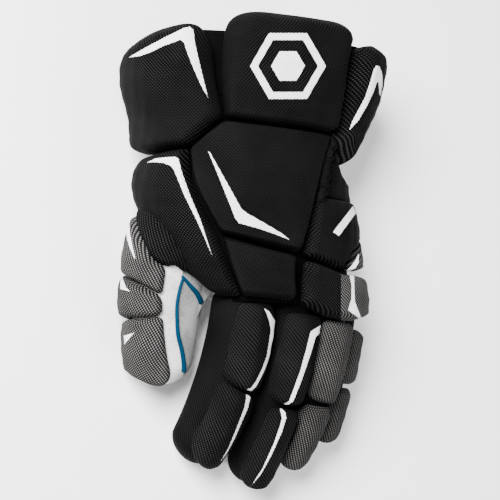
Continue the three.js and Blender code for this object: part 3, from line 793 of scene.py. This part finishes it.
mark(side_plate, "print", [[
    (146.9, 162.4), (155.5, 158.6), (167, 157.2), (175.6, 156.8), (178.5, 159), (181.4, 171), (190, 195),
    (200.1, 219), (212.8, 257.5), (203.4, 235), (196.1, 219), (184.2, 195), (174.5, 171), (170.8, 165.8),
    (163.1, 162.8), (153.6, 162),
]])
dress(side_plate, side_plate_cloth, "black_mesh", "thumb_side_plate")
OUTER_PLATE_CORNERS = [
    (0.64, 0.2, 4), (0.635, 0.7, 8), (0.65, 1.1, 8), (0.765, 0.78, 8), (0.84, 0.44, 6), (0.905, 0.3, 4),
    (0.858, 0.03, 3),
]
outer_face = foam_pad("outer_face", hand, OUTER_PLATE_CORNERS, 0.8 * PLATE_THICK, (3, 3.5), 200)
SIDE_PANEL_CORNERS = [
    (0.44, 0.4, 5), (0.5, 0.33, 5), (0.65, 0.26, 4), (0.665, 0.7, 6), (0.68, 1.1, 6), (0.565, 0.95, 8),
    (0.552, 0.6, 6),
]
side_panel = foam_pad("side_panel", hand, SIDE_PANEL_CORNERS, 0.6 * PLATE_THICK, (5, 4), 120)
outer_plate = joined("plate_outer", [outer_face, side_panel])
mark(outer_plate, "print", [[(333, 232), (339, 236), (356, 213), (353, 206)]])
dress(outer_plate, plate_cloth, "black_mesh", "outer_plate")

# Gathered strip
# A short strip of the same mesh between the back plate and the outer plate, gathered on elastic.
# Its cloth bunches up in small folds along a stitched line.
STRIP_HEIGHT = 9.0
STRIP_PATH = [(0.425, 0.345), (0.47, 0.315), (0.53, 0.28), (0.58, 0.255), (0.625, 0.23), (0.665, 0.185)]
strip_steps = np.linspace(0, 1, 220)
strip_line = curve_through([hand.point(a, c, STRIP_HEIGHT)[()] for a, c in STRIP_PATH], strip_steps)
strip_tangent = np.gradient(strip_line, axis=0)
strip_tangent /= np.linalg.norm(strip_tangent, axis=1, keepdims=True)
strip_rise = [(hand.point(a, c, 6.5) - hand.point(a, c, 5.5))[()] for a, c in STRIP_PATH]
strip_up = curve_through(strip_rise, strip_steps)
strip_side = np.cross(strip_tangent, strip_up)
strip_side /= np.linalg.norm(strip_side, axis=1, keepdims=True)
walk = strip_steps[:, None]
turn = np.linspace(0, 2 * math.pi, 33)[None, :-1]
folds = 1.1 * np.sin(walk * 62 + 1.6 * np.cos(turn) + 2.2 * np.sin(walk * 17))
folds = folds + 0.5 * np.sin(walk * 131 + 2 * turn)
ends = np.clip(np.minimum(walk, 1 - walk) * 9, 0.02, 1) ** 0.5
across_strip = (3.4 + 0.5 * folds) * np.cos(turn) * ends
above_strip = (4.0 + 0.65 * folds - 1.1 * np.exp(-((np.cos(turn) / 0.22) ** 2))) * np.sin(turn) * ends
strip_points = strip_line[:, None] + strip_side[:, None] * across_strip[..., None]
strip_points = strip_points + strip_up[:, None] * above_strip[..., None]
strip = sheet_of("gathered_strip", strip_points, closed=True)
point_outwards(strip)
strip.data.materials.append(mesh_cloth("strip_mesh", BLACK_THREAD, BLACK_GAP, 1.3, 30, 0.25, printed=False))
press_out(strip, [back_plate, outer_plate, cuff_outer, cuff_back])
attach(strip, "root")

# Knuckle plates and outer wedge
# Two short foam plates at the knuckle line and a small grey wedge on the little finger's side.
# The outer knuckle plate is black mesh on top and grey mesh on its outer side, parted by a white print.
GREY_THREAD = (0.165, 0.1595, 0.155, 1)
GREY_GAP = (0.006, 0.0058, 0.0057, 1)
GREY_CLOTH = (GREY_THREAD, GREY_GAP)
knuckle_cloth = mesh_cloth("knuckle_mesh", BLACK_THREAD, BLACK_GAP, 1.7, 40, 0.3, second=GREY_CLOTH)
grey_cloth = mesh_cloth("grey_mesh", GREY_THREAD, GREY_GAP, 1.65, 55, 0.32)
KNUCKLE_CORNERS = [(0.808, -0.463, 3), (0.863, 0.0, 3), (1.024, -0.105, 4), (1.01, -0.59, 4)]
knuckle_middle = foam_pad("plate_knuckle_middle", hand, KNUCKLE_CORNERS, PLATE_THICK, (2.8, 3.2), bevel=0.3)
mark(knuckle_middle, "print", [])
dress(knuckle_middle, plate_cloth, "black_mesh", "knuckle_plate_middle")
OUTER_KNUCKLE_CORNERS = [
    (0.874, 0.035, 4), (0.918, 0.3, 5), (0.91, 0.67, 8), (1.065, 0.68, 9), (1.085, 0.35, 8),
    (1.072, 0.08, 5), (1.028, -0.055, 4),
]
knuckle_outer = foam_pad("plate_knuckle_outer", hand, OUTER_KNUCKLE_CORNERS, PLATE_THICK * 0.9, (3, 4))
mark(knuckle_outer, "print", [[
    (349, 274), (354, 274), (354.5, 293), (355, 302), (361.5, 318.5), (360.4, 319.4), (348, 310),
    (351.3, 299), (351.5, 285), (350, 278),
]])
mark(knuckle_outer, "second_cloth", [[(341, 262), (375, 262), (375, 330), (341, 330)]])
dress(knuckle_outer, knuckle_cloth, "grey_mesh", "knuckle_plate_outer")
WEDGE_CORNERS = [(0.82, 0.62, 4), (0.9, 0.4, 4), (0.885, 1.12, 8), (0.76, 1.14, 8), (0.73, 0.9, 5)]
wedge = foam_pad("plate_outer_wedge", hand, WEDGE_CORNERS, PLATE_THICK * 0.8, (3, 3), 96)
mark(wedge, "print", [[
    (341.4, 273.3), (348.7, 268.6), (355.4, 260.5), (358.7, 252.9), (358.7, 262.4), (355.4, 268.2),
    (348.7, 272),
]])
dress(wedge, grey_cloth, "grey_mesh", "outer_wedge_pad")

# Finger pads
# Two foam pads on the back of each finger, roof-shaped with a soft ridge along the middle.
# Index and middle are black with a white print along the outer edge. Ring and little are the thumb pads'
# grey mesh, painted darker as shade.
FINGER_PAD_THICK = 9.0
ROOF = 3.0
ROOF_HALF_WIDTH = 9.0
finger_black_cloth = mesh_cloth("finger_black_mesh", (0.024, 0.0231, 0.0236, 1), BLACK_GAP, 1.7, 38, 0.32)
# ring and little pads: the grey mesh's colour scaled darker, a painted shade
finger_grey_painted_shade_cloth = mesh_cloth("finger_grey_mesh_painted_shade", (0.108, 0.1045, 0.1015, 1), GREY_GAP, 1.65, 55, 0.32)
FINGER_PRINTS = {
    "index_proximal": [
        (264.2, 307.9), (269.2, 311.6), (278.3, 325.7), (274.2, 341.4), (270, 356.3), (263.4, 372.9),
        (255.9, 387), (251, 391.2), (246.3, 389.5), (251, 387.8), (255.9, 381.2), (261.7, 369.6),
        (266.7, 356.3), (269.2, 341.4), (270.9, 329), (268.4, 318.2),
    ],
    "index_distal": [
        (245.5, 391.3), (249, 393.5), (250.3, 398), (247.9, 408), (243.6, 418), (234.9, 438), (226.9, 453),
        (220.3, 462), (228.4, 448), (236.6, 428), (244.3, 408), (246.3, 398), (245.8, 394),
    ],
    "middle_proximal": [
        (325.3, 322.3), (323.1, 329.8), (315.6, 337.3), (311.5, 351.4), (306.5, 366.3), (300.7, 382.9),
        (293.3, 401.1), (288.3, 404.8), (283.3, 404.1), (289.1, 401.1), (294.1, 387.8), (300.7, 369.6),
        (305.7, 351.4), (309.8, 334.8), (310.7, 331.5), (317.3, 327.3),
    ],
    "middle_distal": [
        (276.3, 405.3), (280.6, 408), (285.2, 412), (286.3, 418), (281.9, 432), (271, 456), (261, 474),
        (251, 486.3), (262.8, 468), (273.6, 444), (279.9, 426), (282, 418), (279.8, 408.5),
    ],
}
FINGER_CORNERS = {
    "index_proximal": [
        (0.035, -0.6, 5), (0.3, -0.82, 8), (0.435, -0.88, 5), (0.488, -0.2, 4), (0.482, 0.28, 6),
        (0.3, 0.45, 10), (0.14, 0.5, 8), (0.03, 0.15, 6),
    ],
    "index_distal": [
        (0.457, -0.92, 5), (0.81, -0.9, 12), (0.905, -0.68, 7), (0.945, -0.2, 7), (0.93, 0.24, 6),
        (0.75, 0.36, 12), (0.57, 0.4, 7), (0.512, 0.1, 5),
    ],
    "middle_proximal": [
        (0.075, -0.45, 5), (0.37, -0.64, 10), (0.49, -0.6, 6), (0.52, -0.2, 5), (0.518, 0.4, 6),
        (0.34, 0.56, 10), (0.08, 0.58, 6),
    ],
    "middle_distal": [
        (0.54, -0.42, 6), (0.72, -0.52, 10), (0.92, -0.66, 8), (0.98, -0.2, 6), (0.955, 0.3, 8),
        (0.72, 0.38, 12), (0.545, 0.46, 6),
    ],
    "ring_proximal": [
        (0.11, -0.42, 5), (0.49, -0.55, 6), (0.545, -0.3, 5), (0.57, 0.5, 6), (0.31, 0.56, 10),
        (0.12, 0.58, 6),
    ],
    "ring_distal": [
        (0.575, -0.5, 6), (0.93, -0.6, 8), (0.98, -0.2, 6), (0.96, 0.2, 8), (0.72, 0.5, 12),
        (0.588, 0.56, 6),
    ],
    "little_proximal": [(0.15, -0.5, 5), (0.53, -0.55, 5), (0.56, 0.42, 6), (0.2, 0.56, 6)],
    "little_distal": [(0.56, -0.55, 6), (0.93, -0.6, 8), (0.98, -0.2, 6), (0.95, 0.2, 8), (0.585, 0.42, 6)],
}
roof = lambda place, heart: ROOF * np.minimum(np.abs(place[:, 1] - heart[1]) / ROOF_HALF_WIDTH, 1.3)
before = [knuckle_middle, knuckle_outer, side_plate]
for name, form in fingers.items():
    grey = name in ("ring", "little")
    pads = []
    cloth = finger_grey_painted_shade_cloth if grey else finger_black_cloth
    for part in ("proximal", "distal"):
        title = f"{name}_{part}"
        outline = FINGER_PRINTS.get(title)
        count = 180 if outline else 112
        corners = FINGER_CORNERS[title]
        pad = foam_pad(title + "_foam", form, corners, FINGER_PAD_THICK, (3.4, 3.4), count, ridge=roof)
        press_out(pad, before)
        mark(pad, "print", [outline] if outline else [])
        dress(pad, cloth, "grey_mesh" if grey else "black_mesh", f"{name}_pad_{part}")
        pads.append(pad)
    before = before + pads

# Thumb sleeve
# The same suede in a tube for the thumb, closed at the tip, with its nail side turned outwards.
# A blue cord covers the seam along its inner side. Past it the suede is darker, partly its own colour and
# partly painted shade, and a web of the same darkened suede joins it to the palm.
dark_suede_painted_shade_look = bpy.data.materials.new("dark_suede_painted_shade")
# darker suede for the thumb's inner side and the web: partly the suede's own darker colour, partly painted
# shade
suede(dark_suede_painted_shade_look, (0.19, 0.19, 0.19, 1), (0.045, 0.045, 0.045, 1))
SLEEVE_START = 0.16
SLEEVE_COLUMNS = 96
SHADED_COLUMNS = (36, 62)
SHADED_TOP = 262
# where the seam between the pale suede and the darker suede with painted shade is seen, across at each
# height in the view's frame
SEAM_SEEN = [(183, 276), (180, 288), (177, 305), (177, 320), (178, 335), (182, 350), (184, 362), (184, 374)]
along, taper = nosed(thumb, SLEEVE_START, THUMB_DEPTH / 2)
round_thumb = np.linspace(-1, 3, SLEEVE_COLUMNS + 1)[None, :-1]
sleeve = sheet_of("thumb_suede", thumb.point(along, round_thumb, 0, taper), closed=True)
press_out(sleeve, [side_plate])
sleeve.data.materials.append(suede_look)
sleeve.data.materials.append(dark_suede_painted_shade_look)
# faces on the inner side that are seen right of the seam get the darker suede with painted shade
for face in sleeve.data.polygons:
    column = face.index % SLEEVE_COLUMNS
    seen_at = picture_place(np.array(face.center)[None])[0]
    seam_at = np.interp(seen_at[1], [y for x, y in SEAM_SEEN], [x for x, y in SEAM_SEEN])
    if seen_at[0] > seam_at and seen_at[1] > SHADED_TOP and SHADED_COLUMNS[0] < column < SHADED_COLUMNS[1]:
        face.material_index = 1
give_wall(sleeve, thumb, FINGER_WALL)
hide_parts("thumb_sleeve")
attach(sleeve, "root")

# Web and piping
# A sheet of darker suede, partly its own colour and partly painted shade, spans the crotch of the thumb, and
# smooth blue cord is sewn along its seams.
# The cord is about 2 mm thick where it starts and up to 3.8 mm where it ends, and stands up out of its seam.
piping_look = bpy.data.materials.new("blue_piping")
piping_look.use_nodes = True
piping_nodes, piping_links = piping_look.node_tree.nodes, piping_look.node_tree.links
piping_shader = piping_nodes["Principled BSDF"]
piping_shader.inputs["Roughness"].default_value = 0.6
piping_shader.inputs["Specular IOR Level"].default_value = 0.05
piping_place = piping_nodes.new("ShaderNodeTexCoord")
piping_grain = piping_nodes.new("ShaderNodeTexNoise")
piping_grain.inputs["Scale"].default_value = 400
piping_links.new(piping_place.outputs["Object"], piping_grain.inputs["Vector"])
piping_ramp = piping_nodes.new("ShaderNodeValToRGB")
piping_ramp.color_ramp.elements[0].color = (0.0, 0.017, 0.042, 1)
piping_ramp.color_ramp.elements[1].color = (0.0, 0.032, 0.068, 1)
piping_links.new(piping_grain.outputs["Fac"], piping_ramp.inputs["Fac"])
piping_links.new(piping_ramp.outputs["Color"], piping_shader.inputs["Base Color"])

WEB_THUMB = (0.3, 0.8)
WEB_HAND = (0.84, 0.99)
WEB_HOLLOW = 7.0
WEB_THICK = 2.0


def web_point(t, s, offset):
    """A point of the web at a share along it and a share from the thumb to the hand, in millimetres."""
    t, s = np.broadcast_arrays(t, s)
    a = thumb.point(WEB_THUMB[0] + (WEB_THUMB[1] - WEB_THUMB[0]) * t, 1.15, -1)
    b = hand.point(WEB_HAND[0] + (WEB_HAND[1] - WEB_HAND[0]) * t, -1.28, -1)
    normal = np.cross((0, 1, 0), b - a)
    normal /= np.linalg.norm(normal, axis=-1, keepdims=True)
    p = a + (b - a) * s[..., None] - normal * offset
    p[..., 1] += WEB_HOLLOW * t * 4 * s * (1 - s)
    return p


web = sheet_of("thumb_web", web_point(np.linspace(0, 1, 20)[:, None], np.linspace(0, 1, 24)[None, :], 1.0))
solidify = web.modifiers.new("wall", "SOLIDIFY")
solidify.thickness = WEB_THICK * MM
apply_all(web)
point_outwards(web)
# the web's suede is darker in colour and darkened further by painted shade
web.data.materials.append(dark_suede_painted_shade_look)
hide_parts("web_gusset")
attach(web, "root")


def cord_along(name, points, radii):
    """A round cord through the points, closed at both ends, its radius given at each end, in millimetres."""
    line = curve_through(points, np.linspace(0, 1, 48))
    tangent = np.gradient(line, axis=0)
    tangent /= np.linalg.norm(tangent, axis=1, keepdims=True)
    side = np.cross(tangent, (0, 0, 1.0))
    side /= np.linalg.norm(side, axis=1, keepdims=True)
    up = np.cross(side, tangent)
    turn = np.linspace(0, 2 * math.pi, 13)[:-1]
    thick = np.linspace(*radii, len(line))
    thick[0] = thick[-1] = 0.01
    ring = side[:, None] * np.cos(turn)[None, :, None] + up[:, None] * np.sin(turn)[None, :, None]
    made = sheet_of(name, line[:, None] + ring * thick[:, None, None], closed=True)
    point_outwards(made)
    made.data.materials.append(piping_look)
    return made


THUMB_SEAM = [
    (0.46, 0.86), (0.516, 0.816), (0.6, 0.787), (0.67, 0.808), (0.738, 0.852), (0.807, 0.96), (0.865, 1.02),
    (0.92, 1.06),
]
thumb_seam = [thumb.point(along, across, 0.5)[()] for along, across in THUMB_SEAM]
thumb_piping = cord_along("piping_thumb", thumb_seam, (0.9, 1.7))
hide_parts("thumb_piping")
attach(thumb_piping, "root")
WEB_SEAM = [(0.456, 0.82), (0.479, 0.92), (0.506, 1.01), (0.54, 1.15), (0.585, 1.33)]
web_seam = [thumb.point(along, across, 0.7)[()] for along, across in WEB_SEAM]
web_piping = cord_along("piping_web", web_seam, (0.8, 1.9))
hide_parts("web_piping")
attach(web_piping, "root")

# Thumb pads
# Three grey foam pads on the back of the thumb, from its base to over its tip.
# They bulge between the seams and carry small white printed wedges on the outer side.
THUMB_PAD_THICK = {"base": 8.0, "middle": 8.0, "tip": 6.5}
THUMB_CORNERS = {
    "base": [
        (0.2, -0.8, 8), (0.235, -0.36, 4), (0.305, -0.02, 4), (0.39, 0.27, 4), (0.422, 0.5, 4),
        (0.56, 0.49, 5), (0.508, 0.0, 6), (0.462, -0.8, 8),
    ],
    "middle": [
        (0.466, -0.8, 6), (0.511, 0.0, 6), (0.563, 0.49, 5), (0.65, 0.51, 5), (0.674, 0.0, 6),
        (0.71, -0.8, 6),
    ],
    "tip": [
        (0.714, -0.8, 8), (0.678, 0.0, 6), (0.654, 0.52, 5), (0.72, 0.54, 8), (0.82, 0.62, 8),
        (0.93, 0.75, 9), (0.98, 0.5, 9), (0.93, -0.8, 18),
    ],
}
THUMB_PRINTS = {
    "base": [
        (128.8, 220), (129.4, 224.2), (130, 233.9), (132.4, 246), (135.8, 260), (133.6, 256.9),
        (130, 248.5), (127, 238.8), (126, 230.9),
    ],
    "middle": [
        (120.9, 272.7), (120.1, 289), (130, 291.5), (125.8, 287.2), (122.7, 278.8), (122.1, 273.9),
        (125.8, 269.7),
    ],
    "tip": [(123.9, 335.7), (134.2, 332.7), (124.3, 344.2)],
}
for part, corners in THUMB_CORNERS.items():
    pad = foam_pad(f"thumb_{part}_foam", thumb, corners, THUMB_PAD_THICK[part], (3.2, 3.2), 180, crown=1.18)
    press_out(pad, [side_plate])
    mark(pad, "print", [THUMB_PRINTS[part]])
    dress(pad, grey_cloth, "grey_mesh", f"thumb_pad_{part}")
